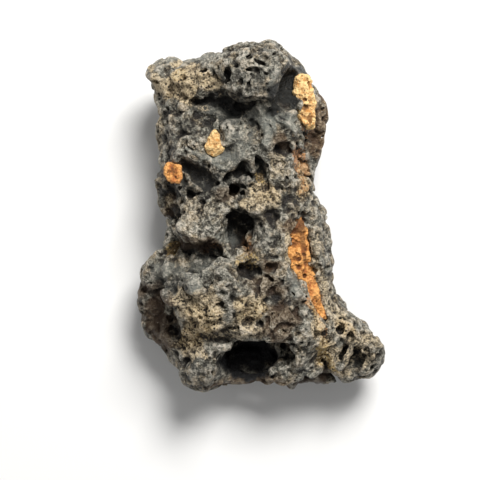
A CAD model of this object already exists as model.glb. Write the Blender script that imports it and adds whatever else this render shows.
"""Looks of a Muong Nong tektite: a block of dark, layered, bubbly glass with clay lodged in some of its pits.

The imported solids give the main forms. The glass is read into an even grid of signed distances in
millimetres, is roughened, layered and carved with bubbles there, and is turned back into one closed mesh.
Each lump of clay grows from its own solid until it meets the glass. The colours are procedural and read
attributes of the meshes.
"""

import logging
import math
from collections.abc import Sequence
from dataclasses import dataclass, field
from enum import Enum, IntEnum
from functools import reduce

import bpy
import numpy as np
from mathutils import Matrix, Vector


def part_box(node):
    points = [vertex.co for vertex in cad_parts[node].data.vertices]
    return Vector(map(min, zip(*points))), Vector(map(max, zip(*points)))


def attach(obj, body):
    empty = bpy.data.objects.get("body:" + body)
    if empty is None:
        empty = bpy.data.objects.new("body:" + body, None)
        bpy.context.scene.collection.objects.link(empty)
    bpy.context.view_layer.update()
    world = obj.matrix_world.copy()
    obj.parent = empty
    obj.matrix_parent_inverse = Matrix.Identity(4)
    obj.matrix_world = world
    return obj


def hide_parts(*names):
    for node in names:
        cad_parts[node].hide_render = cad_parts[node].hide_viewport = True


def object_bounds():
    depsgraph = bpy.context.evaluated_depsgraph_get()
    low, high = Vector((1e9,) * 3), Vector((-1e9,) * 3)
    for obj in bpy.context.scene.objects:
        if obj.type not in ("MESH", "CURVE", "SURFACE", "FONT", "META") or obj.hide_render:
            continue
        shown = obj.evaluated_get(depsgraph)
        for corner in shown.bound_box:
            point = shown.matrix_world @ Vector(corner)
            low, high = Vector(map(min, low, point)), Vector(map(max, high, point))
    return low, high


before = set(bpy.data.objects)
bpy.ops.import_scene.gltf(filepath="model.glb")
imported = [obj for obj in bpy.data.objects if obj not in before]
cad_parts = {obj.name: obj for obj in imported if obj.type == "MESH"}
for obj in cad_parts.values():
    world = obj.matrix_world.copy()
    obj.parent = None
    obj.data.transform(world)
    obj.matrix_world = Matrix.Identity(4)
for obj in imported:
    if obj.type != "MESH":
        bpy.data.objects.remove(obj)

import openvdb
from mathutils import Vector

CAD_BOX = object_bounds()
MM = 0.001
MARGIN, PITCH, QUICK_PITCH = 1.5, 0.18, 0.3
KNOT_REACH = (21.0, 28.0, 24.0)
NOISE_SPREAD = 3.0
PATCH_EDGE, PATCH_RAGGEDNESS, LEVEL_FADE = (0.75, 1.2), 0.28, 1.0
DIP_DEPTH, DEEPEST_DIP = 1.5, 1.8
ELLIPSOID_SLACK = 1.3
Span = tuple[float, float, float]
Pair = tuple[float, float]
Window = tuple[slice, slice, slice]
Array = np.ndarray
Item = bpy.types.Object
Socket = bpy.types.NodeSocket


class Tone(Enum):
    """What a painted patch of the glass shows."""

    PALE = "pale"
    DARK = "dark"
    DIM = "dim"
    BLACK = "black"
    BROWN = "brown"
    RUST = "rust"
    GOLD = "gold"
    DUST = "dust"


class Seed(IntEnum):
    """Where each kind of chance in the glass starts."""

    BUBBLES = 5
    RAGGED = 11
    FINE_WARP = 21
    WIDE_WARP = 24
    LAYERS = 31
    BROAD_WAVE = 40
    WAVES = 41
    LUMPS = 45
    SPONGE = 51
    PAINT = 61
    GRIT = 71


@dataclass(frozen=True)
class Hollow:
    """A bubble or scoop in the front: an ellipsoid whose middle lies on the face, or is sunk below it, in mm.

    Where a level is given, the middle lies at that level instead.
    """

    x: float
    y: float
    half_x: float
    half_y: float
    depth: float
    turn: float = 0.0
    sunk: float = 0.0
    level: float | None = None


class Swelling(Hollow):
    """A lump on the front, given in the way of a hollow."""


@dataclass(frozen=True)
class Patch:
    """An area of the front with one tone, seen from above, between a lowest and a highest level, in mm."""

    x: float
    y: float
    half_x: float
    half_y: float
    turn: float = 0.0
    strength: float = 1.0
    lowest: float = 8.0
    highest: float = 99.0


def patches(*rows: tuple[float, ...]) -> list[Patch]:
    """Makes a patch of each row of numbers, which stand in the order of a patch's fields."""
    return [Patch(*row) for row in rows]


def smooth_step(low: float, high: float, values: Array) -> Array:
    """A smooth ramp.

    Args:
        low: where the ramp is 0.
        high: where the ramp is 1.
        values: the values to read.

    Returns:
        The ramp at each value.
    """
    share = np.clip((values - low) / (high - low), 0, 1)
    return share * share * (3 - 2 * share)


def coverage(given: Sequence[Patch], x: Array, y: Array, z: Array, ragged: Array) -> Array:
    """How much the patches cover each place.

    Args:
        given: the patches.
        x: the places' x in mm.
        y: the places' y in mm.
        z: the places' z in mm.
        ragged: noise of about -1 to 1 that makes the patches' edges uneven, of a shape that fits x and y.

    Returns:
        0 outside the patches, up to 1 inside.
    """
    covered = np.zeros(np.broadcast(x, y, z).shape, np.float32)
    for patch in given:
        turn = math.radians(patch.turn)
        dx, dy = x - patch.x, y - patch.y
        along = (dx * math.cos(turn) + dy * math.sin(turn)) / patch.half_x
        across = (dy * math.cos(turn) - dx * math.sin(turn)) / patch.half_y
        away = np.hypot(along, across) + PATCH_RAGGEDNESS * ragged
        inside = patch.strength * (1 - smooth_step(*PATCH_EDGE, away))
        above = smooth_step(patch.lowest - LEVEL_FADE, patch.lowest + LEVEL_FADE, z)
        below = smooth_step(patch.highest + LEVEL_FADE, patch.highest - LEVEL_FADE, z)
        np.maximum(covered, (inside * (above * below)).astype(np.float32), out=covered)
    return covered


@dataclass(frozen=True)
class Lattice:
    """The even grid of points around the stone on which its distances are held, in mm."""

    low: Span
    counts: tuple[int, int, int]
    pitch: float

    @classmethod
    def around(cls, box: tuple[Vector, Vector], margin: float, pitch: float) -> "Lattice":
        """Makes a grid that holds a box.

        Args:
            box: the box's lowest and highest corner in metres.
            margin: what the grid holds beyond the box, in mm.
            pitch: the distance between grid points, in mm.

        Returns:
            The grid.
        """
        first = [math.floor((c / MM - margin) / pitch) for c in box[0]]
        last = [math.ceil((c / MM + margin) / pitch) for c in box[1]]
        counts = tuple(b - a + 1 for a, b in zip(first, last))
        return cls(tuple(a * pitch for a in first), counts, pitch)

    def part(self, box: tuple[Vector, Vector], margin: float) -> "Lattice":
        """Makes a smaller grid with the same pitch and the same points.

        Args:
            box: the box that it holds, in metres.
            margin: what it holds beyond the box, in mm.

        Returns:
            The smaller grid, which lies within this one.
        """
        first, end = [], []
        for which in range(3):
            low, count = round(self.low[which] / self.pitch), self.counts[which]
            first.append(max(low, math.floor((box[0][which] / MM - margin) / self.pitch)))
            end.append(min(low + count, math.ceil((box[1][which] / MM + margin) / self.pitch) + 1))
        counts = tuple(b - a for a, b in zip(first, end))
        return Lattice(tuple(a * self.pitch for a in first), counts, self.pitch)

    def cut(self, values: Array, smaller: "Lattice") -> Array:
        """The values at a smaller grid's points.

        Args:
            values: values at every point of this grid.
            smaller: the smaller grid.

        Returns:
            The values at its points.
        """
        starts = [b - a for a, b in zip(self.first_index(), smaller.first_index())]
        return values[tuple(slice(a, a + count) for a, count in zip(starts, smaller.counts))]

    def axis(self, which: int) -> Array:
        """The grid's coordinates along one axis, shaped to broadcast over the grid.

        Args:
            which: 0 for X, 1 for Y, 2 for Z.

        Returns:
            The coordinates in mm.
        """
        places = self.low[which] + self.pitch * np.arange(self.counts[which], dtype=np.float32)
        shape = [1, 1, 1]
        shape[which] = -1
        return places.reshape(shape)

    def first_index(self) -> tuple[int, int, int]:
        """The whole-number place of the grid's lowest point, counted in pitches."""
        return tuple(round(c / self.pitch) for c in self.low)

    def distances_to(self, obj: Item, band: float) -> Array:
        """Signed distances to an object's surface.

        Args:
            obj: a closed mesh object.
            band: how far from the surface the distances go on, in mm.

        Returns:
            Distances in mm at every grid point, below 0 inside.
        """
        grid = openvdb.FloatGrid.createLevelSetFromPolygons(
            points_of(obj),
            triangles=triangles_of(obj).astype(np.uint32),
            transform=openvdb.createLinearTransform(voxelSize=self.pitch),
            halfWidth=band / self.pitch,
        )
        values = np.empty(self.counts, np.float32)
        grid.copyToArray(values, ijk=self.first_index())
        return values

    def weights(self, which: int, spacing: float) -> Array:
        """How much each knot of a cubic spline counts at each grid point along an axis.

        The knots' places don't depend on the pitch, so that the noise is the same on a coarse grid.

        Args:
            which: the axis.
            spacing: the distance between knots in mm.

        Returns:
            A matrix of grid points by knots.
        """
        count = self.counts[which]
        place = (self.axis(which).ravel() + KNOT_REACH[which]) / spacing
        knot = np.floor(place).astype(int)
        t = place - knot
        matrix = np.zeros((count, math.ceil(2 * KNOT_REACH[which] / spacing) + 4), np.float32)
        parts = ((1 - t) ** 3, 3 * t**3 - 6 * t**2 + 4, -3 * t**3 + 3 * t**2 + 3 * t + 1, t**3)
        for k, part in enumerate(parts):
            matrix[np.arange(count), knot + k] = part / 6
        return matrix

    def noise(self, spacing: float | Span, seed: int) -> Array:
        """Smooth noise with a spread of about 1.

        Args:
            spacing: how far apart its lumps are in mm, the same in all directions or one for each axis.
            seed: a whole number, another one for each other noise.

        Returns:
            The noise at every grid point.
        """
        spacings = spacing if isinstance(spacing, tuple) else (spacing,) * 3
        along = [self.weights(which, spacings[which]) for which in range(3)]
        knots = np.random.default_rng(seed).standard_normal([w.shape[1] for w in along]).astype(np.float32)
        for weight in along:
            knots = np.tensordot(knots, weight, (0, 1))
        return knots * np.float32(NOISE_SPREAD)

    def shifts(self, height: float, spacing: float, seed: int) -> list[Array]:
        """How far noise shifts each grid point along X, Y and Z, with a seed of its own for each."""
        return [height * self.noise(spacing, seed + which) for which in range(3)]

    def blurred(self, values: Array, radius: float) -> Array:
        """Values averaged with their neighbours.

        Args:
            values: values at every grid point.
            radius: the blur's radius in mm.

        Returns:
            The averages.
        """
        reach = max(1, round(radius / self.pitch))
        for which in range(3):
            for _ in range(2):
                beyond = [(reach + 1, reach) if a == which else (0, 0) for a in range(3)]
                total = np.cumsum(np.pad(values, beyond, mode="edge"), axis=which, dtype=np.float64)
                ends = [slice(None)] * 3, [slice(None)] * 3
                ends[0][which], ends[1][which] = slice(2 * reach + 1, None), slice(None, -2 * reach - 1)
                summed = total[tuple(ends[0])] - total[tuple(ends[1])]
                values = (summed / (2 * reach + 1)).astype(np.float32)
        return values

    def read(self, values: Array, points: Array) -> Array:
        """Values between the grid points.

        Args:
            values: values at every grid point.
            points: places in mm, one a row.

        Returns:
            The value at each place.
        """
        place = np.clip((points - np.array(self.low)) / self.pitch, 0, np.array(self.counts) - 1.001)
        cell = place.astype(int)
        share = place - cell
        found = np.zeros(len(points))
        for corner in np.ndindex(2, 2, 2):
            weight = np.prod(np.where(corner, share, 1 - share), axis=1)
            found += weight * values[tuple((cell + corner).T)]
        return found

    def window(self, place: Array, reach: float) -> Window:
        """The part of the grid near a place.

        Args:
            place: a place in mm.
            reach: how far the part goes on each side of it, in mm.

        Returns:
            Slices of the grid.
        """
        first = np.maximum(np.floor((place - reach - self.low) / self.pitch).astype(int), 0)
        last = np.minimum(np.ceil((place + reach - self.low) / self.pitch).astype(int) + 1, self.counts)
        return tuple(slice(a, max(a, b)) for a, b in zip(first, last))

    def height_at(self, values: Array, x: float, y: float) -> float:
        """The level of the upper face.

        Args:
            values: signed distances at every grid point.
            x: the place's x in mm.
            y: the place's y in mm.

        Returns:
            The level in mm, or the grid's middle level where there is no glass.
        """
        i = int(np.clip(round((x - self.low[0]) / self.pitch), 0, self.counts[0] - 1))
        j = int(np.clip(round((y - self.low[1]) / self.pitch), 0, self.counts[1] - 1))
        inside = np.nonzero(values[i, j] < 0)[0]
        top = inside[-1] if len(inside) else self.counts[2] // 2
        return self.low[2] + self.pitch * top

    def to_object(self, name: str, values: Array, loose: float = 0.0) -> Item:
        """Makes an object of the surface where the distances are 0.

        Args:
            name: the object's name.
            values: signed distances at every grid point.
            loose: separate parts of the surface with less than this share of its points are left out.

        Returns:
            The object, in metres.
        """
        grid = openvdb.FloatGrid(float(values.max()))
        grid.transform = openvdb.createLinearTransform(voxelSize=self.pitch)
        grid.copyFromArray(np.ascontiguousarray(values, np.float32), ijk=self.first_index())
        points, _, quads = grid.convertToPolygons()
        points, quads = without_loose(points, quads[:, ::-1], loose)
        mesh = bpy.data.meshes.new(name)
        mesh.from_pydata(points * MM, [], quads)
        mesh.shade_smooth()
        obj = bpy.data.objects.new(name, mesh)
        bpy.context.scene.collection.objects.link(obj)
        return obj


def without_loose(points: Array, faces: Array, share: float) -> tuple[Array, Array]:
    """Leaves out the small parts of a surface that hang on nothing.

    Args:
        points: the surface's points.
        faces: the numbers of each face's points.
        share: parts with less than this share of the points are left out.

    Returns:
        The points and faces that stay.
    """
    first, second = faces.ravel(), np.roll(faces, 1, axis=1).ravel()
    label = np.arange(len(points))
    while True:
        lower = np.minimum(label[first], label[second])
        found = label.copy()
        np.minimum.at(found, first, lower)
        np.minimum.at(found, second, lower)
        found = found[found]
        if np.array_equal(found, label):
            break
        label = found
    large = np.bincount(label, minlength=len(points))[label] >= share * len(points)
    number = np.cumsum(large) - 1
    return points[large], number[faces[large[faces[:, 0]]]]


def points_of(obj: Item) -> Array:
    """Reads an object's points.

    Args:
        obj: a mesh object.

    Returns:
        Its points in mm, one a row.
    """
    points = np.empty(len(obj.data.vertices) * 3, np.float32)
    obj.data.vertices.foreach_get("co", points)
    return points.reshape(-1, 3) / MM


def triangles_of(obj: Item) -> Array:
    """Reads an object's triangles.

    Args:
        obj: a mesh object.

    Returns:
        The numbers of each triangle's points, one triangle a row.
    """
    obj.data.calc_loop_triangles()
    corners = np.empty(len(obj.data.loop_triangles) * 3, np.int32)
    obj.data.loop_triangles.foreach_get("vertices", corners)
    return corners.reshape(-1, 3)


def write_attribute(obj: Item, name: str, values: Array) -> None:
    """Stores a number at each of an object's points, for its material to read.

    Args:
        obj: a mesh object.
        name: the attribute's name.
        values: one number a point.
    """
    layer = obj.data.attributes.new(name, "FLOAT", "POINT")
    layer.data.foreach_set("value", np.asarray(values, np.float32))


def thin_out(obj: Item, most: int) -> None:
    """Joins faces where the surface is even, until few enough triangles are left.

    Args:
        obj: a mesh object.
        most: the number of triangles that may be left.
    """
    count = len(triangles_of(obj))
    if count <= most:
        return
    modifier = obj.modifiers.new("fewer faces", "DECIMATE")
    modifier.ratio = most / count
    graph = bpy.context.evaluated_depsgraph_get()
    made = bpy.data.meshes.new_from_object(obj.evaluated_get(graph))
    obj.modifiers.clear()
    obj.data = made
    obj.data.shade_smooth()


class Shader:
    """A material's nodes, with short calls to add and join them."""

    def __init__(self, name: str) -> None:
        """Starts a material.

        Args:
            name: the material's name.
        """
        self.material = bpy.data.materials.new(name)
        self.material.use_nodes = True
        self.nodes = self.material.node_tree.nodes
        self.links = self.material.node_tree.links
        self.surface = self.nodes["Principled BSDF"]
        self.place = self.nodes.new("ShaderNodeTexCoord").outputs["Object"]

    def join(self, value: "Socket | float | Sequence[float]", socket: Socket) -> None:
        """Feeds a socket.

        Args:
            value: another node's output, or a number or colour.
            socket: the socket to feed.
        """
        if isinstance(value, Socket):
            self.links.new(value, socket)
        else:
            socket.default_value = value

    def attribute(self, name: str) -> Socket:
        """Reads an attribute of the mesh.

        Args:
            name: the attribute's name.

        Returns:
            Its value.
        """
        node = self.nodes.new("ShaderNodeAttribute")
        node.attribute_name = name
        return node.outputs["Fac"]

    def noise(self, size: float, detail: float, roughness: float, seed: float = 0.0) -> Socket:
        """Even noise of 0 to 1.

        Args:
            size: how far apart its lumps are in mm.
            detail: how many finer layers it has.
            roughness: how strong they are.
            seed: another number gives another noise.

        Returns:
            The noise.
        """
        node = self.nodes.new("ShaderNodeTexNoise")
        node.noise_dimensions = "4D"
        self.join(self.place, node.inputs["Vector"])
        self.join(seed, node.inputs["W"])
        self.join(1 / (size * MM), node.inputs["Scale"])
        self.join(detail, node.inputs["Detail"])
        self.join(roughness, node.inputs["Roughness"])
        return node.outputs["Fac"]

    def grains(self, size: float) -> tuple[Socket, Socket]:
        """Separate grains.

        Args:
            size: how large they are in mm.

        Returns:
            The distance to each grain's middle, and a chance number for each grain.
        """
        node = self.nodes.new("ShaderNodeTexVoronoi")
        self.join(self.place, node.inputs["Vector"])
        self.join(1 / (size * MM), node.inputs["Scale"])
        split = self.nodes.new("ShaderNodeSeparateColor")
        self.join(node.outputs["Color"], split.inputs["Color"])
        return node.outputs["Distance"], split.outputs["Red"]

    def ramp(self, value: Socket, low: float, high: float, start: float = 0.0, end: float = 1.0) -> Socket:
        """A smooth ramp.

        Args:
            value: what it reads.
            low: where it starts.
            high: where it ends.
            start: its value at low.
            end: its value at high.

        Returns:
            The ramp's value.
        """
        node = self.nodes.new("ShaderNodeMapRange")
        node.interpolation_type = "SMOOTHSTEP"
        given = {"Value": value, "From Min": low, "From Max": high, "To Min": start, "To Max": end}
        for name, number in given.items():
            self.join(number, node.inputs[name])
        return node.outputs["Result"]

    def math(self, operation: str, *values: "Socket | float") -> Socket:
        """Works out a number.

        Args:
            operation: Blender's name for what is done.
            values: what it reads.

        Returns:
            The result.
        """
        node = self.nodes.new("ShaderNodeMath")
        node.operation = operation
        for value, socket in zip(values, node.inputs):
            self.join(value, socket)
        return node.outputs["Value"]

    def total(self, *values: "Socket | float") -> Socket:
        """The sum of all the values."""
        return reduce(lambda first, second: self.math("ADD", first, second), values)

    def times(self, first: Socket, second: "Socket | float") -> Socket:
        """The product of two values."""
        return self.math("MULTIPLY", first, second)

    def mix(self, share: "Socket | float", first: "Socket | Span", second: "Socket | Span") -> Socket:
        """A blend of two colours.

        Args:
            share: how much of the second there is.
            first: the first colour.
            second: the second colour.

        Returns:
            The blend.
        """
        node = self.nodes.new("ShaderNodeMix")
        node.data_type = "RGBA"
        self.join(share, node.inputs["Factor"])
        for colour, socket in ((first, node.inputs["A"]), (second, node.inputs["B"])):
            self.join(colour if isinstance(colour, Socket) else (*colour, 1.0), socket)
        return node.outputs["Result"]

    def shades(self, value: Socket, places: Sequence[float], row: Sequence[Span]) -> Socket:
        """A row of colours.

        Args:
            value: what it reads, 0 to 1.
            places: where each colour lies.
            row: the colours.

        Returns:
            The colour at the value.
        """
        node = self.nodes.new("ShaderNodeValToRGB")
        self.join(value, node.inputs["Fac"])
        elements = node.color_ramp.elements
        while len(elements) < len(row):
            elements.new(1.0)
        for element, place, colour in zip(elements, places, row):
            element.position = place
            element.color = (*colour, 1.0)
        return node.outputs["Color"]

    def bump(self, height: Socket, depth: float) -> None:
        """Gives the surface relief that is too fine for the mesh.

        Args:
            height: the relief, 0 to 1.
            depth: how deep it is in mm.
        """
        node = self.nodes.new("ShaderNodeBump")
        self.join(height, node.inputs["Height"])
        self.join(depth * MM, node.inputs["Distance"])
        self.join(node.outputs["Normal"], self.surface.inputs["Normal"])


@dataclass(frozen=True)
class GlassFinish:
    """Weathered impact glass: near black in its pits, grey on its faces, frosted on its ridges, and dusty.

    Both rows of colours run from the bottoms of the pits to the sharpest ridges. Sizes are in mm.
    """

    row_places: tuple[float, ...] = (0.02, 0.28, 0.5, 0.72, 0.98)
    clean_row: tuple[Span, ...] = (
        (0.008, 0.006, 0.004), (0.040, 0.033, 0.025), (0.125, 0.119, 0.092), (0.262, 0.250, 0.202),
        (0.50, 0.45, 0.37))
    dusty_row: tuple[Span, ...] = (
        (0.014, 0.007, 0.002), (0.060, 0.040, 0.019), (0.172, 0.120, 0.056), (0.350, 0.246, 0.128),
        (0.580, 0.460, 0.310))
    pale: Span = (0.275, 0.283, 0.245)
    dark: Span = (0.011, 0.0105, 0.008)
    black: Span = (0.0010, 0.0008, 0.0006)
    brown: Span = (0.070, 0.038, 0.018)
    rust: Span = (0.46, 0.20, 0.06)
    gold: Span = (0.48, 0.33, 0.12)
    dust: Span = (0.62, 0.50, 0.32)
    refraction: float = 1.49
    fine_size: float = 0.42
    middle_size: float = 1.6
    film_size: float = 2.2
    speck_size: float = 0.26
    crumb_size: float = 0.34
    chip_size: float = 0.8
    even_tone: float = 0.44
    edge_share: float = 0.36
    hollow_share: float = 0.46
    fine_share: float = 0.42
    middle_share: float = 0.12
    dust_share: float = 0.12
    most_film: float = 0.65
    bump_depth: float = 0.34

    def material(self) -> bpy.types.Material:
        """Makes the material.

        Returns:
            The material.
        """
        shader = Shader("weathered glass")
        pale, dark, dim, black, brown, rust, gold, dust = (shader.attribute(tone.value) for tone in Tone)
        fine, middle = shader.noise(self.fine_size, 5.0, 0.8), shader.noise(self.middle_size, 3.0, 0.65, 4.0)
        (speck, chance), (chips, _) = shader.grains(self.speck_size), shader.grains(self.chip_size)
        crumb, luck = shader.grains(self.crumb_size)
        calm, powder = shader.math("MAXIMUM", pale, dark), shader.total(dust, gold)
        powdered = shader.math("MINIMUM", powder, 1.0)
        tone = shader.total(
            shader.math("MULTIPLY_ADD", shader.attribute("edge"), self.edge_share, self.even_tone),
            shader.ramp(fine, 0.34, 0.66, -self.fine_share, self.fine_share),
            shader.ramp(middle, 0.3, 0.7, -self.middle_share, self.middle_share),
            shader.ramp(chips, 0.1, 0.8, -0.10, 0.14),
            shader.times(shader.attribute("hollow"), -self.hollow_share),
            shader.times(dust, self.dust_share))

        # a film of dust in uneven areas, less of it where the glass is calm
        clean, dusty = (shader.shades(tone, self.row_places, row) for row in (self.clean_row, self.dusty_row))
        clouds = shader.ramp(shader.noise(self.film_size, 5.0, 0.75, 9.0), 0.44, 0.66, 0.0, self.most_film)
        film = shader.times(clouds, shader.ramp(calm, 0.2, 0.9, 1.0, 0.1))
        film = shader.math("MAXIMUM", shader.math("MAXIMUM", film, brown), powdered)
        colour = shader.mix(film, clean, dusty)

        # even areas, which let some of the tone through
        for covered, shown, most, least in ((pale, self.pale, 0.65, 0.35), (dark, self.dark, 1.0, 0.93),
                                            (dim, self.dark, 0.95, 0.5)):
            mottled = shader.ramp(tone, 0.1, 0.9, most, least)
            colour = shader.mix(shader.times(covered, mottled), colour, shown)
        colour = shader.mix(shader.times(brown, shader.ramp(tone, 0.35, 0.9, 0.95, 0.55)), colour, self.brown)

        # soil as single grains, then cream and burnt crumbs among them, and glints on the glass
        for covered, shown in ((rust, self.rust), (gold, self.gold), (dust, self.dust)):
            grain = shader.total(covered, shader.ramp(chance, 0.0, 1.0, -0.6, 0.0),
                                 shader.ramp(fine, 0.3, 0.7, -0.25, 0.25))
            shaded = shader.mix(shader.ramp(tone, 0.0, 0.6, 0.75, 0.0), shown, self.brown)
            colour = shader.mix(shader.ramp(grain, 0.1, 0.6, 0.0, 0.8), colour, shaded)
        cream = shader.times(shader.ramp(luck, 0.80, 0.86), shader.ramp(crumb, 0.55, 0.3))
        burnt = shader.times(shader.ramp(luck, 0.22, 0.14), shader.ramp(crumb, 0.6, 0.35))
        for crumbs, shown in ((cream, self.dust), (burnt, self.clean_row[0])):
            colour = shader.mix(shader.times(crumbs, powdered), colour, shown)
        glint = shader.times(shader.ramp(chance, 0.90, 0.95), shader.ramp(speck, 0.45, 0.15, 0.0, 0.7))
        colour = shader.mix(shader.times(glint, shader.ramp(tone, 0.2, 0.6)), colour, self.clean_row[-1])
        shader.join(shader.mix(black, colour, self.black), shader.surface.inputs["Base Color"])

        rough = shader.total(shader.ramp(fine, 0.3, 0.7, 0.45, 0.7), shader.times(calm, -0.12),
                             shader.times(powder, 0.3))
        shader.join(rough, shader.surface.inputs["Roughness"])
        shader.join(self.refraction, shader.surface.inputs["IOR"])
        coarse = shader.math("MULTIPLY_ADD", chips, 1.1, shader.times(crumb, 0.5))
        relief = shader.total(fine, shader.times(speck, -0.4),
                              shader.times(coarse, shader.ramp(calm, 0.0, 0.8, 1.0, 0.15)))
        shader.bump(relief, self.bump_depth)
        return shader.material


@dataclass(frozen=True)
class ClayFinish:
    """Dry, crumbly clay with darker holes and a few stained grains, with sizes in mm."""

    name: str
    pale: Span
    deep: Span
    stain: Span
    hole: Span
    fine_size: float = 0.3
    middle_size: float = 1.1
    speck_size: float = 0.35
    roughness: float = 0.92
    bump_depth: float = 0.2

    def material(self) -> bpy.types.Material:
        """Makes the material.

        Returns:
            The material.
        """
        shader = Shader(self.name)
        fine, middle = shader.noise(self.fine_size, 3.0, 0.65), shader.noise(self.middle_size, 2.0, 0.6, 7.0)
        speck, chance = shader.grains(self.speck_size)
        tone = shader.total(shader.math("MULTIPLY_ADD", shader.attribute("edge"), 0.5, 0.5),
                            shader.ramp(fine, 0.3, 0.7, -0.35, 0.35))
        stained = shader.total(shader.ramp(middle, 0.45, 0.7), shader.ramp(chance, 0.0, 1.0, -0.6, 0.3))
        specked = shader.times(shader.ramp(chance, 0.10, 0.05), shader.ramp(speck, 0.5, 0.3))
        colour = shader.mix(shader.ramp(tone, 0.1, 0.75), self.deep, self.pale)
        for share, shown in ((shader.ramp(stained, 0.25, 0.8, 0.0, 0.85), self.stain),
                             (shader.ramp(shader.attribute("hollow"), 0.3, 1.0, 0.0, 0.85), self.hole),
                             (shader.times(specked, 0.8), self.hole),
                             (shader.times(shader.attribute("stain"), 0.85), self.hole)):
            colour = shader.mix(share, colour, shown)
        shader.join(colour, shader.surface.inputs["Base Color"])
        shader.join(self.roughness, shader.surface.inputs["Roughness"])
        shader.bump(shader.total(fine, speck), self.bump_depth)
        return shader.material


ORANGE_CLAY = ClayFinish(
    "orange clay", (0.74, 0.36, 0.11), (0.42, 0.16, 0.032), (0.46, 0.15, 0.04), (0.07, 0.022, 0.006))
TAN_CLAY = ClayFinish(
    "tan clay", (0.46, 0.29, 0.15), (0.26, 0.13, 0.05), (0.36, 0.14, 0.04), (0.07, 0.03, 0.01))
CREAM_CLAY = ClayFinish(
    "cream clay", (0.82, 0.56, 0.25), (0.52, 0.27, 0.09), (0.52, 0.22, 0.05), (0.12, 0.05, 0.015))


def relief_attributes(lattice: Lattice, values: Array, obj: Item, fine: float, broad: float) -> None:
    """Stores how far each point stands out of its surroundings, and how deep in a hollow it lies.

    Args:
        lattice: the grid.
        values: signed distances at every grid point.
        obj: the object made from them.
        fine: the radius in mm over which a ridge or dent counts.
        broad: the radius in mm over which a hollow counts.
    """
    points = points_of(obj)
    near, far = (lattice.read(lattice.blurred(values, radius), points) for radius in (fine, broad))
    write_attribute(obj, "edge", np.clip((near - np.median(near)) / (2 * near.std()), -1, 1))
    write_attribute(obj, "hollow", np.clip((np.median(far) - far) / (2 * far.std()), 0, 1))


def scattered(obj: Item, count: int, rng: np.random.Generator) -> tuple[Array, Array]:
    """Picks places spread evenly over an object.

    Args:
        obj: a mesh object.
        count: how many places.
        rng: the source of chance.

    Returns:
        The places in mm, one a row, and the surface's outward direction at each.
    """
    a, b, c = points_of(obj)[triangles_of(obj)].transpose(1, 0, 2)
    across = np.cross(b - a, c - a)
    area = np.linalg.norm(across, axis=1)
    chosen = rng.choice(len(area), count, p=area / area.sum())
    share = rng.random((2, count, 1))
    share = np.where(share.sum(0) > 1, 1 - share, share)
    places = a[chosen] + share[0] * (b - a)[chosen] + share[1] * (c - a)[chosen]
    return places, across[chosen] / area[chosen, None]


def ridges(lattice: Lattice, height: float, spacing: float, seed: int) -> Array:
    """Relief of sharp crests with rounded dips between them.

    Args:
        lattice: the grid.
        height: how high the crests are, in mm.
        spacing: how far apart they are, in mm.
        seed: a whole number, another one for each other relief.

    Returns:
        The relief in mm at every grid point.
    """
    return height * (1 - DIP_DEPTH * np.minimum(np.abs(lattice.noise(spacing, seed)), DEEPEST_DIP))


@dataclass(frozen=True)
class Bubbles:
    """A scatter of burst bubbles of about one size, in mm.

    A bubble's middle stands off the surface by a share of its radius: above 0 it leaves a shallow scallop,
    and below 0 a deep hole.
    """

    count: int
    smallest: float
    largest: float
    lowest_stand: float
    highest_stand: float
    only_spongy: bool = False


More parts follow.
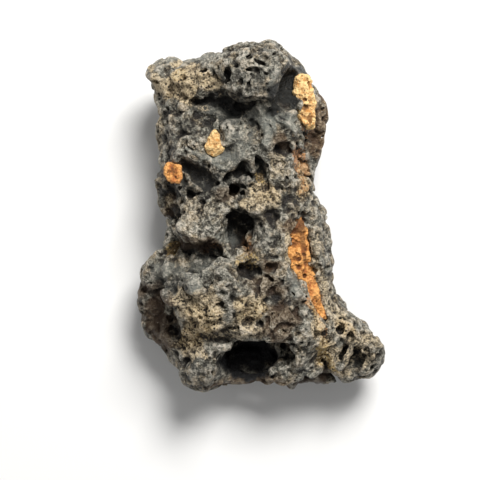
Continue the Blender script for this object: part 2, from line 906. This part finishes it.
@dataclass
class TektiteGlass:
    """The stone itself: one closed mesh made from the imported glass, with bubbles, layers and weathering.

    Sizes are in mm. Each wave, lump, grit and warp is a height and the spacing of its noise.
    """

    node: str = "tektite"
    band: float = 2.6
    facet_blur: float = 0.55
    growth: float = 0.10
    convex_blur: float = 1.3
    ragged_spacing: float = 1.6
    painted_spacing: float = 0.9
    sponge_spacing: float = 4.0
    sponge_range: Pair = (0.9, 2.2)
    broad_wave: Pair = (0.26, 3.2)
    waves: tuple[Pair, ...] = ((0.15, 1.5), (0.13, 0.85))
    lumps: tuple[Pair, ...] = ((0.10, 1.1), (0.07, 0.5))
    grit: tuple[Pair, ...] = ((0.08, 0.6), (0.09, 0.4))
    fine_warp: Pair = (0.13, 0.8)
    wide_warp: Pair = (0.34, 2.1)
    calming: float = 0.6
    grit_calming: float = 0.5
    layer_depth: float = 0.13
    layer_limit: float = 2.0
    layer_spacing: Span = (7.0, 7.0, 0.8)
    bubbles: tuple[Bubbles, ...] = (
        Bubbles(60, 0.9, 1.5, 0.6, 0.85),
        Bubbles(220, 0.45, 0.9, 0.45, 0.85),
        Bubbles(7000, 0.18, 0.34, -0.1, 0.5),
        Bubbles(9000, 0.20, 0.40, -0.6, 0.2, True),
    )
    small_bubble: float = 0.5
    edge_range: Pair = (0.25, 0.55)
    size_skew: float = 1.6
    stretch: Pair = (0.75, 1.35)
    flake_radius: float = 0.38
    flake_limit: float = 0.15
    least_part: float = 0.02
    most_triangles: int = 195_000
    ridge_radius: float = 0.45
    hollow_radius: float = 1.5
    hollows: list[Hollow] = field(default_factory=list)
    spongy: list[Patch] = field(default_factory=list)
    tones: dict[Tone, list[Patch]] = field(default_factory=dict)

    def sculpt(self, lattice: Lattice) -> Array:
        """Shapes the glass.

        Args:
            lattice: the grid.

        Returns:
            Signed distances in mm at every grid point.
        """
        solid = lattice.distances_to(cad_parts[self.node], self.band)
        values = lattice.blurred(solid, self.facet_blur) - self.growth
        x, y, z = (lattice.axis(which) for which in range(3))
        ragged = lattice.noise(self.ragged_spacing, Seed.RAGGED)[:, :, lattice.counts[2] // 2, None]
        even = [patch for tone in (Tone.PALE, Tone.DARK, Tone.BLACK) for patch in self.tones[tone]]
        smooth = coverage(even, x, y, z, ragged)
        calm = 1 - self.calming * smooth
        sponge = smooth_step(*self.sponge_range, lattice.noise(self.sponge_spacing, Seed.SPONGE))
        spongy = np.maximum(coverage(self.spongy, x, y, z, ragged), sponge)
        convex = lattice.blurred(values, self.convex_blur)
        levels = [lattice.height_at(values, hollow.x, hollow.y) - hollow.sunk for hollow in self.hollows]
        layers = np.clip(lattice.noise(self.layer_spacing, Seed.LAYERS), -self.layer_limit, self.layer_limit)
        broad = ridges(lattice, *self.broad_wave, Seed.BROAD_WAVE)
        values = values - calm * (self.layer_depth * layers + broad)
        warp = lattice.shifts(*self.fine_warp, Seed.FINE_WARP)
        wide_warp = [a + b for a, b in zip(lattice.shifts(*self.wide_warp, Seed.WIDE_WARP), warp)]
        for hollow, level in zip(self.hollows, levels):
            middle = np.array([hollow.x, hollow.y, level if hollow.level is None else hollow.level])
            halves = (hollow.half_x, hollow.half_y, hollow.depth)
            shape(lattice, values, middle, halves, hollow.turn, wide_warp, isinstance(hollow, Swelling))
        for number, (height, spacing) in enumerate(self.waves):
            values -= calm * ridges(lattice, height, spacing, Seed.WAVES + number)
        for number, (height, spacing) in enumerate(self.lumps):
            values += calm * ridges(lattice, height, spacing, Seed.LUMPS + number)
        self.blow_bubbles(lattice, values, smooth, spongy, convex, warp)
        for number, (height, spacing) in enumerate(self.grit):
            values -= height * lattice.noise(spacing, Seed.GRIT + number) * (1 - self.grit_calming * smooth)
        values = np.maximum(values, lattice.blurred(values, self.flake_radius) - self.flake_limit)
        return np.maximum(values, -z)

    def blow_bubbles(self, lattice: Lattice, values: Array, smooth: Array, spongy: Array,
                     convex: Array, warp: list[Array]) -> None:
        """Carves thousands of small bubbles all over, but few where the glass is smooth or has a thin edge.

        Args:
            lattice: the grid.
            values: signed distances at every grid point, changed in place.
            smooth: how smooth the glass is at each grid point, 0 to 1.
            spongy: how spongy it is at each grid point, 0 to 1.
            convex: how far each grid point stands out of its surroundings, in mm.
            warp: how far each grid point is shifted along X, Y and Z while the bubbles' shape is read.
        """
        rng = np.random.default_rng(Seed.BUBBLES)
        for kind in self.bubbles:
            places, outward = scattered(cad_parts[self.node], kind.count, rng)
            likely = 1 - lattice.read(smooth, places)
            if kind.largest > self.small_bubble:
                likely = likely * (1 - smooth_step(*self.edge_range, lattice.read(convex, places)))
            if kind.only_spongy:
                likely = likely * lattice.read(spongy, places)
            kept = rng.random(kind.count) < likely
            size = rng.random((kind.count, 1)) ** self.size_skew
            radius = kind.smallest + (kind.largest - kind.smallest) * size
            stand = rng.uniform(kind.lowest_stand, kind.highest_stand, (kind.count, 1))
            middles = places + outward * radius * stand
            halves = radius * rng.uniform(*self.stretch, (kind.count, 3))
            turns = rng.uniform(0, 180, kind.count)
            for number in np.nonzero(kept)[0]:
                shape(lattice, values, middles[number], halves[number], turns[number], warp)

    def paint(self, lattice: Lattice, values: Array, obj: Item) -> None:
        """Stores the attributes that the material reads.

        Args:
            lattice: the grid.
            values: signed distances at every grid point.
            obj: the stone.
        """
        relief_attributes(lattice, values, obj, self.ridge_radius, self.hollow_radius)
        points = points_of(obj)
        ragged = lattice.read(lattice.noise(self.painted_spacing, Seed.PAINT), points)
        for tone in Tone:
            write_attribute(obj, tone.value, coverage(self.tones.get(tone, []), *points.T, ragged))

    def build(self, lattice: Lattice, values: Array) -> Item:
        """Makes the stone's object from its distances, and dresses it.

        Args:
            lattice: the grid.
            values: signed distances at every grid point.

        Returns:
            The stone.
        """
        obj = lattice.to_object("tektite_glass", values, self.least_part)
        thin_out(obj, self.most_triangles)
        self.paint(lattice, values, obj)
        obj.data.materials.append(GlassFinish().material())
        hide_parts(self.node)
        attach(obj, "root")
        return obj


def shape(lattice: Lattice, values: Array, middle: Array, halves: Sequence[float], turn: float,
          warp: list[Array], adds: bool = False) -> None:
    """Takes an ellipsoid out of a solid, or adds one to it.

    Args:
        lattice: the grid.
        values: signed distances at every grid point, changed in place.
        middle: the ellipsoid's middle in mm.
        halves: its half sizes in mm.
        turn: how far it is turned about Z, in degrees.
        warp: how far each grid point is shifted along X, Y and Z while the ellipsoid is read.
        adds: whether the ellipsoid is added.
    """
    part = lattice.window(middle, max(halves) * ELLIPSOID_SLACK + 2 * lattice.pitch)
    dx, dy, dz = (lattice.axis(which)[tuple(part[which] if a == which else slice(None) for a in range(3))]
                  - middle[which] + warp[which][part] for which in range(3))
    cosine, sine = math.cos(math.radians(turn)), math.sin(math.radians(turn))
    u, v, w = (dx * cosine + dy * sine) / halves[0], (dy * cosine - dx * sine) / halves[1], dz / halves[2]
    far = np.sqrt(u * u + v * v + w * w)
    slope = np.sqrt((u / halves[0]) ** 2 + (v / halves[1]) ** 2 + (w / halves[2]) ** 2)
    away = far * (far - 1) / np.maximum(slope, 1e-6)
    values[part] = np.minimum(values[part], away) if adds else np.maximum(values[part], -away)


@dataclass
class ClayLump:
    """Clay in a pit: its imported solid, grown to meet the glass, crumbled and full of small holes, in mm."""

    node: str
    finish: ClayFinish
    seed: int
    growth: float = 0.5
    shift: Span = (0.0, 0.0, -0.5)
    margin: float = 3.0
    band: float = 2.6
    facet_blur: float = 0.3
    least_part: float = 0.2
    crumbs: tuple[Pair, ...] = ((0.12, 1.1), (0.10, 0.6), (0.09, 0.38))
    warp: Pair = (0.1, 0.7)
    warp_seed: int = 10
    holes: int = 60
    hole_radius: Pair = (0.12, 0.35)
    stretch: Pair = (0.8, 1.3)
    ridge_radius: float = 0.3
    hollow_radius: float = 0.45
    overlap: float = 0.06
    most_triangles: int = 30_000
    stained: list[Patch] = field(default_factory=list)

    def build(self, lattice: Lattice, glass: Array) -> Item:
        """Makes the lump and dresses it.

        Args:
            lattice: the grid.
            glass: the stone's signed distances at every grid point.

        Returns:
            The lump.
        """
        near = lattice.part(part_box(self.node), self.margin)
        steps = tuple(round(c / near.pitch) for c in self.shift)
        solid = near.distances_to(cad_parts[self.node], self.band)
        values = np.roll(near.blurred(solid, self.facet_blur), steps, axis=(0, 1, 2)) - self.growth
        for number, (height, spacing) in enumerate(self.crumbs):
            values -= height * near.noise(spacing, self.seed + number)
        warp = near.shifts(*self.warp, self.seed + self.warp_seed)
        rng = np.random.default_rng(self.seed)
        for place, outward in zip(*scattered(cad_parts[self.node], self.holes, rng)):
            radius = rng.uniform(*self.hole_radius)
            middle = place + outward * self.growth + self.shift
            shape(near, values, middle, radius * rng.uniform(*self.stretch, 3), 0.0, warp)
        values = np.maximum(values, -lattice.cut(glass, near) - self.overlap)
        obj = near.to_object(self.node.replace("clay_", "clay_lump_"), values, self.least_part)
        thin_out(obj, self.most_triangles)
        relief_attributes(near, values, obj, self.ridge_radius, self.hollow_radius)
        stain = coverage(self.stained, *points_of(obj).T, np.zeros(1, np.float32))
        write_attribute(obj, "stain", stain)
        obj.data.materials.append(self.finish.material())
        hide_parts(self.node)
        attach(obj, "root")
        return obj


@dataclass(frozen=True)
class Lamp:
    """A square soft light that faces the stone: its place and side in metres, and its power in watts."""

    name: str
    place: Span
    side: float
    power: float

    def hang(self, aim: Span) -> None:
        """Hangs the light.

        Args:
            aim: the place it faces, in metres.
        """
        data = bpy.data.lights.new(self.name, "AREA")
        data.size, data.energy = self.side, self.power
        obj = bpy.data.objects.new(self.name, data)
        obj.location = self.place
        obj.rotation_euler = (Vector(aim) - Vector(self.place)).to_track_quat("-Z", "Y").to_euler()
        bpy.context.scene.collection.objects.link(obj)


@dataclass
class Studio:
    """A plain pale floor, soft lights and a camera that looks straight down on the stone.

    The floor, the lamps and the aim are in metres; the view and the camera's sensor are in mm.
    """

    floor_half: float = 1.5
    floor_colour: Span = (0.80, 0.79, 0.77)
    floor_roughness: float = 0.9
    aim: Span = (0, 0, 0.01)
    lamps: tuple[Lamp, ...] = (
        Lamp("window above", (0.10, 0.24, 0.34), 0.18, 2.8),
        Lamp("fill", (-0.25, -0.20, 0.34), 0.5, 0.35),
    )
    room_colour: Span = (0.95, 0.97, 1.0)
    room_strength: float = 0.22
    view_middle: Pair = (-3.0, -3.06)
    view_level: float = 9.0
    camera_height: float = 250.0
    view_width: float = 65.5
    sensor: float = 36.0
    nearest_seen: float = 10.0

    def floor(self) -> Item:
        """Lays the floor.

        Returns:
            The floor.
        """
        mesh = bpy.data.meshes.new("floor")
        half = self.floor_half
        corners = [(-half, -half, 0), (half, -half, 0), (half, half, 0), (-half, half, 0)]
        mesh.from_pydata(corners, [], [(0, 1, 2, 3)])
        obj = bpy.data.objects.new("floor", mesh)
        bpy.context.scene.collection.objects.link(obj)
        shader = Shader("pale floor")
        shader.join((*self.floor_colour, 1.0), shader.surface.inputs["Base Color"])
        shader.join(self.floor_roughness, shader.surface.inputs["Roughness"])
        obj.data.materials.append(shader.material)
        return obj

    def camera(self) -> None:
        """Places the camera over the stone."""
        data = bpy.data.cameras.new("camera")
        data.sensor_width = self.sensor
        data.lens = self.sensor * self.camera_height / self.view_width
        data.clip_start = self.nearest_seen * MM
        obj = bpy.data.objects.new("camera", data)
        obj.location = [c * MM for c in (*self.view_middle, self.view_level + self.camera_height)]
        bpy.context.scene.collection.objects.link(obj)
        bpy.context.scene.camera = obj

    def build(self) -> None:
        """Sets up the floor, the lights, the surrounding light and the camera."""
        self.floor()
        for lamp in self.lamps:
            lamp.hang(self.aim)
        world = bpy.data.worlds.new("pale room")
        world.use_nodes = True
        background = world.node_tree.nodes["Background"]
        background.inputs["Color"].default_value = (*self.room_colour, 1.0)
        background.inputs["Strength"].default_value = self.room_strength
        bpy.context.scene.world = world
        bpy.context.scene.view_settings.view_transform = "Standard"
        self.camera()


HOLLOWS = [
    Swelling(-5.4, 15.0, 3.2, 1.2, 1.1, -8, -0.1), Hollow(-6.3, 14.2, 3.6, 2.0, 1.0, -14, -0.4),
    Hollow(-1.9, 15.2, 1.5, 0.8, 1.2, 8, 0.2), Hollow(-3.4, 14.4, 0.8, 0.5, 0.9),
    Hollow(-10.6, 16.0, 1.1, 0.7, 0.9), Hollow(-8.1, 13.4, 0.9, 0.6, 1.0),
    Hollow(-6.6, 12.5, 0.8, 0.5, 0.8), Hollow(-10.8, 11.4, 0.9, 0.8, 0.9),
    Hollow(-7.5, 19.6, 0.5, 0.5, 0.6), Hollow(-2.6, 21.0, 0.45, 0.4, 0.6),
    Hollow(-3.0, 17.6, 0.6, 0.4, 0.7), Hollow(-1.0, 20.3, 0.5, 0.3, 0.6), Hollow(0.8, 21.3, 0.4, 0.3, 0.6),
    Hollow(-3.9, 19.7, 0.4, 0.4, 0.6), Hollow(1.9, 20.2, 0.35, 0.3, 0.6), Hollow(0.2, 18.6, 0.45, 0.3, 0.6),
    Hollow(-11.0, 19.0, 0.8, 0.7, 0.9), Hollow(-5.2, 18.2, 0.6, 0.7, 0.8),
    Hollow(-1.6, 18.8, 0.5, 0.6, 0.8), Hollow(2.7, 21.6, 0.5, 0.5, 0.7),
    Hollow(2.5, 9.9, 1.5, 1.5, 1.6, 15, -0.9), Hollow(5.5, 10.2, 0.6, 0.6, 0.9),
    Hollow(8.2, 13.4, 0.5, 0.6, 0.7), Hollow(7.2, 10.6, 0.6, 0.5, 0.7), Hollow(6.6, 12.2, 0.5, 0.5, 0.6),
    Hollow(-8.3, 8.9, 0.7, 0.5, 0.6), Hollow(-10.6, 6.7, 1.4, 1.0, 1.0, -20, 0.3),
    Hollow(-8.6, 6.0, 1.7, 1.1, 1.2, -18, 0.4), Hollow(-6.4, 5.0, 2.0, 1.1, 1.4, -12, 0.5),
    Hollow(-4.0, 5.5, 1.4, 1.5, 1.5, 20, 0.4), Hollow(-0.4, 6.2, 1.0, 2.1, 2.0, 12, -1.0),
    Hollow(-2.8, 6.4, 0.9, 1.5, 2.0, -8, 0.0), Hollow(-3.5, 3.7, 1.3, 1.1, 2.0, 0, 0.5),
    Hollow(-9.3, 3.2, 1.0, 0.7, 1.1), Hollow(-12.5, 1.8, 0.4, 1.1, 0.8), Hollow(-12.1, -0.3, 1.1, 0.6, 0.9),
    Hollow(-7.1, 1.8, 0.6, 0.5, 0.7), Hollow(1.5, -0.1, 1.1, 0.9, 1.0), Hollow(3.0, 5.2, 0.5, 0.8, 0.9),
    Hollow(3.9, 2.9, 0.5, 0.5, 0.7), Hollow(5.6, 0.1, 0.5, 0.9, 0.9), Hollow(5.4, 4.0, 0.4, 0.4, 0.6),
    Hollow(-1.9, -3.5, 0.5, 1.2, 2.2, 8, 0.5), Hollow(-3.3, -1.9, 2.4, 2.2, 1.6, 40, 0.3),
    Hollow(-2.6, -1.0, 2.4, 1.9, 2.2, 10, -0.6), Hollow(4.3, -2.4, 1.5, 1.7, 1.5, 0, 0.2),
    Hollow(4.2, -4.2, 1.3, 2.1, 1.5, 4, 0.2), Hollow(4.6, -6.4, 1.2, 1.7, 1.3, 12, 0.2),
    Hollow(6.2, -9.2, 1.1, 1.9, 1.2, 35, 0.2), Hollow(7.4, -12.0, 1.0, 1.9, 1.1, 12, 0.2),
    Hollow(3.4, 17.1, 2.2, 3.5, 2.3, -24, 0.2), Hollow(4.3, 18.0, 1.3, 2.2, 2.0, -14, 0.6),
    Swelling(3.9, -18.1, 1.3, 1.9, 2.2, 0, level=11.2), Swelling(-2.6, -20.4, 5.4, 2.6, 1.7, 0, level=5.0),
    Swelling(-5.7, -17.7, 1.7, 1.0, 1.6, 38, level=11.0), Swelling(-7.3, -9.1, 1.4, 1.0, 0.9, 0, 0.1),
    Swelling(0.9, 11.3, 0.8, 1.9, 0.6, -12, 0.1), Swelling(3.2, 12.2, 1.7, 0.6, 0.6, -30, 0.1),
    Hollow(-8.9, -6.2, 4.2, 3.0, 1.6, 4, 0.1), Hollow(-9.9, -4.5, 2.1, 1.6, 2.2, 14, 0.5),
    Hollow(-7.0, -4.5, 1.9, 1.5, 2.1, -20, 0.5), Hollow(-7.6, -8.6, 1.3, 1.3, 0.7, 20, 0.0),
    Hollow(-11.5, -4.5, 1.1, 1.4, 1.5, 0, 0.2), Hollow(-12.6, -8.5, 1.9, 1.6, 1.2, 0, 0.3),
    Swelling(-13.4, -10.4, 1.7, 1.5, 0.7, 0, 0.2), Swelling(-13.6, -13.6, 3.3, 3.7, 2.6, 14, level=4.4),
    Hollow(-6.5, 10.0, 1.75, 1.9, 1.5, 0, -1.2), Hollow(-10.6, -11.2, 1.3, 0.8, 0.5, -35),
    Hollow(-5.2, -4.8, 0.8, 0.7, 1.0), Hollow(-1.9, -6.4, 1.3, 1.0, 0.8),
    Hollow(0.9, -6.6, 0.8, 0.8, 1.3, 0, 0.3), Hollow(1.3, -9.9, 0.6, 0.6, 1.0),
    Hollow(4.5, -12.2, 0.5, 0.5, 0.8), Hollow(6.0, -10.6, 0.45, 0.9, 1.0, -12),
    Hollow(-10.5, -19.0, 0.9, 0.8, 1.2, 0, 0.2), Hollow(-2.3, -19.7, 4.0, 1.7, 4.4, 0, level=11.0),
    Hollow(-0.2, -17.4, 2.5, 1.4, 2.6, 5, level=10.5), Hollow(11.0, -16.1, 1.3, 0.8, 1.4, -10, 0.3),
    Hollow(12.4, -19.4, 2.3, 2.4, 2.3, 10, -1.3), Hollow(7.8, -15.9, 0.5, 0.5, 0.8),
    Hollow(8.2, -19.7, 0.6, 0.6, 1.0), Hollow(8.2, -17.4, 0.35, 0.35, 0.6),
    Hollow(11.0, -22.7, 0.8, 0.8, 1.5), Hollow(14.9, -19.6, 0.4, 0.6, 0.7),
    Swelling(7.2, -22.1, 3.2, 1.4, 1.5, 0, level=6.3),
]

SPONGY = patches(
    (-1.0, 19.6, 5.2, 2.8), (-7.6, 4.3, 4.6, 2.2, -8, 0.8), (7.6, 12.0, 2.0, 3.0, 0, 0.6),
    (1.6, 4.6, 3.0, 3.2, 0, 0.5), (0.0, -7.4, 2.6, 3.0, 0, 0.6), (4.6, -15.8, 3.0, 3.6, 0, 0.5),
    (11.5, -18.5, 3.8, 3.4, 0, 0.7),
)

TONES = {
    Tone.PALE: patches(
        (2.6, 13.0, 2.6, 0.8, 4, 0.9), (0.9, 11.4, 0.9, 2.0, -10, 0.9), (3.4, 12.3, 1.9, 0.6, -30, 0.8),
        (-0.8, 13.6, 2.2, 1.0, 20, 0.5), (-5.0, 13.6, 2.6, 1.1, -14, 0.7), (-5.2, 8.0, 2.8, 0.9, -8, 0.8),
        (-2.6, 10.3, 1.8, 1.6, 0, 0.5), (-8.9, -6.9, 3.8, 1.3, 6, 0.4), (-9.0, -9.4, 1.1, 1.0, 0, 0.8),
        (-4.9, -2.6, 1.3, 1.2, 30, 0.6), (4.1, -9.3, 0.8, 2.6, 12, 0.7),
        (-13.4, -7.6, 1.4, 1.6, 0, 0.5, 3.0), (1.5, 18.2, 0.6, 1.6, -32, 0.8),
        (-9.4, 21.4, 4.2, 0.7, 3, 0.5, 4.0), (-9.4, 8.7, 2.0, 0.35, -25, 0.7),
        (-6.3, 7.1, 1.7, 0.35, -32, 0.7), (-3.9, 6.9, 1.3, 0.35, 30, 0.7),
    ),
    Tone.DARK: patches(
        (3.5, 17.1, 2.2, 3.6, -24, 1.3), (4.4, 18.2, 1.2, 1.8, -10, 1.3),
        (-14.6, -12.4, 1.2, 2.4, 16, 0.4, 3.0), (7.3, -22.1, 3.6, 1.7, 0, 0.85, 2.0, 8.6),
    ),
    Tone.DIM: patches(
        (-15.0, -13.0, 2.9, 5.4, 16, 1.0, 2.0), (-14.6, -14.0, 2.4, 4.4, 16, 1.0, 2.0),
        (-8.9, -4.0, 2.8, 1.1, 0, 0.8), (-2.9, -0.6, 2.1, 1.8, 0, 0.9), (-6.0, 14.6, 4.2, 1.9, -18, 0.85),
        (12.4, -19.4, 2.0, 2.3, 10, 1.0), (12.3, -19.3, 1.4, 1.7, 10, 1.0, 2.0, 8.0),
        (-3.4, 4.8, 2.3, 2.5, 0, 0.85), (-7.8, 4.7, 4.8, 2.2, -12, 0.8), (0.6, -5.2, 1.7, 2.6, 0, 0.5),
        (3.0, -12.6, 2.4, 4.4, 5, 0.65), (-8.0, -20.8, 2.6, 2.4, 0, 0.6),
        (-11.6, -9.6, 2.6, 1.7, -35, 0.95), (-10.4, 12.2, 2.0, 1.0, -30, 0.4),
        (1.4, 21.4, 3.0, 1.2, 0, 0.35), (6.9, -3.6, 1.2, 4.4, 0, 0.25), (-1.4, 17.2, 3.6, 1.5, -8, 0.6),
        (-5.4, 18.2, 1.4, 2.0, 0, 0.5), (-2.6, 14.6, 2.4, 1.4, -30, 0.7), (2.5, 10.0, 1.2, 1.2, 0, 0.7),
        (-7.4, -4.2, 2.6, 1.0, 0, 0.7), (-9.2, 15.4, 2.4, 1.0, 0, 0.6), (-0.6, 6.9, 1.0, 1.7, 0, 0.8),
        (11.0, -16.1, 1.2, 0.8, -10, 0.5),
    ),
    Tone.BLACK: patches(
        (-2.1, -19.6, 4.7, 2.6, 0, 1.0, 1.5, 10.5), (-0.6, -17.4, 2.4, 1.8, 0, 1.0, 1.5, 11.0),
    ),
    Tone.BROWN: patches(
        (7.9, 12.2, 2.2, 4.0, 0, 0.95, 3.0), (-8.6, -3.6, 3.0, 0.9, 0, 0.6),
        (-14.4, -13.4, 2.2, 4.4, 14, 0.75, 3.0), (0.9, -6.4, 1.4, 1.2, 0, 0.7),
        (-1.4, -22.6, 5.2, 1.3, 0, 0.8, 4.0), (7.3, -22.1, 3.6, 1.7, 0, 0.6, 2.0, 8.6),
        (2.5, 10.0, 1.3, 1.3, 0, 0.9), (4.5, -1.2, 1.5, 1.2, 0, 0.9), (-1.9, -3.6, 0.6, 1.3, 0, 0.9),
        (2.8, -13.4, 2.4, 4.0, 0, 0.7), (-12.5, 1.8, 0.9, 1.6, 0, 0.5), (-4.6, 2.9, 1.6, 1.0, 0, 0.5),
        (0.4, -9.0, 2.2, 1.6, 0, 0.45),
    ),
    Tone.RUST: patches(
        (5.3, 6.4, 1.1, 3.0, 8, 0.85), (5.9, 12.0, 0.7, 1.6, 10, 0.5), (7.4, -11.4, 1.2, 3.0, 20, 0.7),
        (-12.2, 5.9, 1.2, 1.6, 10, 0.4), (-1.9, -3.7, 0.5, 1.1, 0, 0.45), (8.3, -15.2, 0.6, 1.0, 0, 0.6),
        (0.9, -6.8, 0.6, 0.6, 0, 0.4), (-6.6, -4.2, 0.9, 0.7, 0, 0.4),
    ),
    Tone.GOLD: patches(
        (-11.0, 19.1, 1.1, 1.0, 0, 1.0), (-12.1, -4.2, 0.9, 1.3, 0, 0.8), (-9.8, 17.0, 2.8, 1.8, 0, 0.5),
        (-7.3, -14.9, 0.6, 0.5, 0, 0.8), (8.2, -18.2, 0.8, 2.0, 10, 0.9), (9.9, -20.9, 1.8, 0.6, -48, 0.9),
        (-0.3, 5.4, 0.6, 0.8, 0, 0.8), (-9.6, -16.6, 2.2, 1.4, 0, 0.6), (-1.6, -6.2, 1.6, 1.2, 0, 0.5),
        (0.6, 3.4, 1.8, 1.2, 0, 0.4), (-1.6, -12.4, 2.2, 1.6, 0, 0.65), (-8.0, -13.4, 2.0, 2.0, 0, 0.6),
        (5.6, 5.0, 1.0, 2.6, 0, 0.5), (10.9, -15.0, 1.6, 0.7, -20, 0.5), (7.4, -13.8, 0.5, 2.0, 20, 0.5),
    ),
    Tone.DUST: patches(
        (-13.6, 18.2, 1.3, 1.4, 0, 0.55), (-14.0, 12.0, 0.8, 3.2, 0, 0.4), (0.2, 2.6, 2.2, 1.7, 0, 0.5),
        (1.8, 6.9, 1.1, 2.0, 0, 0.4), (-8.2, -12.8, 3.0, 3.2, 0, 0.7), (-1.9, -12.2, 2.4, 2.2, 0, 0.65),
        (-9.4, -17.4, 2.8, 1.7, -20, 0.55), (7.3, -14.8, 0.9, 1.6, 0, 0.6), (9.0, -19.4, 1.5, 1.1, 0, 0.5),
        (11.2, -15.3, 1.8, 0.6, -20, 0.5), (15.6, -16.9, 1.4, 1.0, 0, 0.4),
        (11.4, -21.0, 1.2, 1.2, 0, 0.45), (-2.6, 2.0, 0.8, 0.7, 0, 0.9), (-12.7, 2.3, 0.6, 1.2, 0, 0.6),
        (7.0, -4.0, 1.0, 4.5, 0, 0.4), (-10.4, 17.8, 3.8, 2.6, 0, 0.85), (12.2, -17.6, 3.8, 2.6, -20, 0.5),
        (8.6, -11.6, 1.8, 4.4, 24, 0.45), (-3.4, -15.0, 3.0, 1.8, 0, 0.4), (-9.5, 1.0, 3.2, 1.6, 0, 0.25),
        (3.4, -4.0, 0.4, 2.4, 0, 0.7), (5.5, 4.5, 1.4, 2.4, 0, 0.4),
    ),
}

FINE_CRUMBS = ((0.07, 1.1), (0.09, 0.6), (0.09, 0.38))
FINE_HOLES = (0.1, 0.2)

CLAY = [
    ClayLump("clay_in_long_slot", ORANGE_CLAY, 100, growth=0.65, shift=(-0.6, 0.0, -0.9), holes=110,
             stained=patches((4.2, -1.1, 1.8, 1.2, 0, 1.0), (5.5, -3.6, 0.35, 3.0, 6, 0.7))),
    ClayLump("clay_on_shoulder", CREAM_CLAY, 200, growth=0.5, shift=(-0.8, -0.4, -0.5), holes=420,
             hole_radius=(0.12, 0.32)),
    ClayLump("clay_in_centre_pit", CREAM_CLAY, 300, growth=0.55, shift=(-0.2, -0.1, 0.0), holes=60,
             crumbs=FINE_CRUMBS, hole_radius=FINE_HOLES),
    ClayLump("clay_under_left_ledge", ORANGE_CLAY, 400, growth=0.25, shift=(0.2, 0.0, -0.3), holes=40,
             crumbs=FINE_CRUMBS, hole_radius=FINE_HOLES),
    ClayLump("clay_in_neck", TAN_CLAY, 500, growth=0.35, holes=20, hole_radius=FINE_HOLES),
]


def main() -> None:
    """Builds the stone, its clay and the studio."""
    logging.basicConfig(level=logging.INFO, format="%(message)s")
    lattice = Lattice.around(CAD_BOX, MARGIN, PITCH)
    stone = TektiteGlass(hollows=HOLLOWS, spongy=SPONGY, tones=TONES)
    glass = stone.sculpt(lattice)
    logging.info("%s: %d polygons", "tektite_glass", len(stone.build(lattice, glass).data.polygons))
    for lump in CLAY:
        logging.info("%s: %d polygons", lump.node, len(lump.build(lattice, glass).data.polygons))
    Studio().build()


if __name__ == "__main__":
    main()
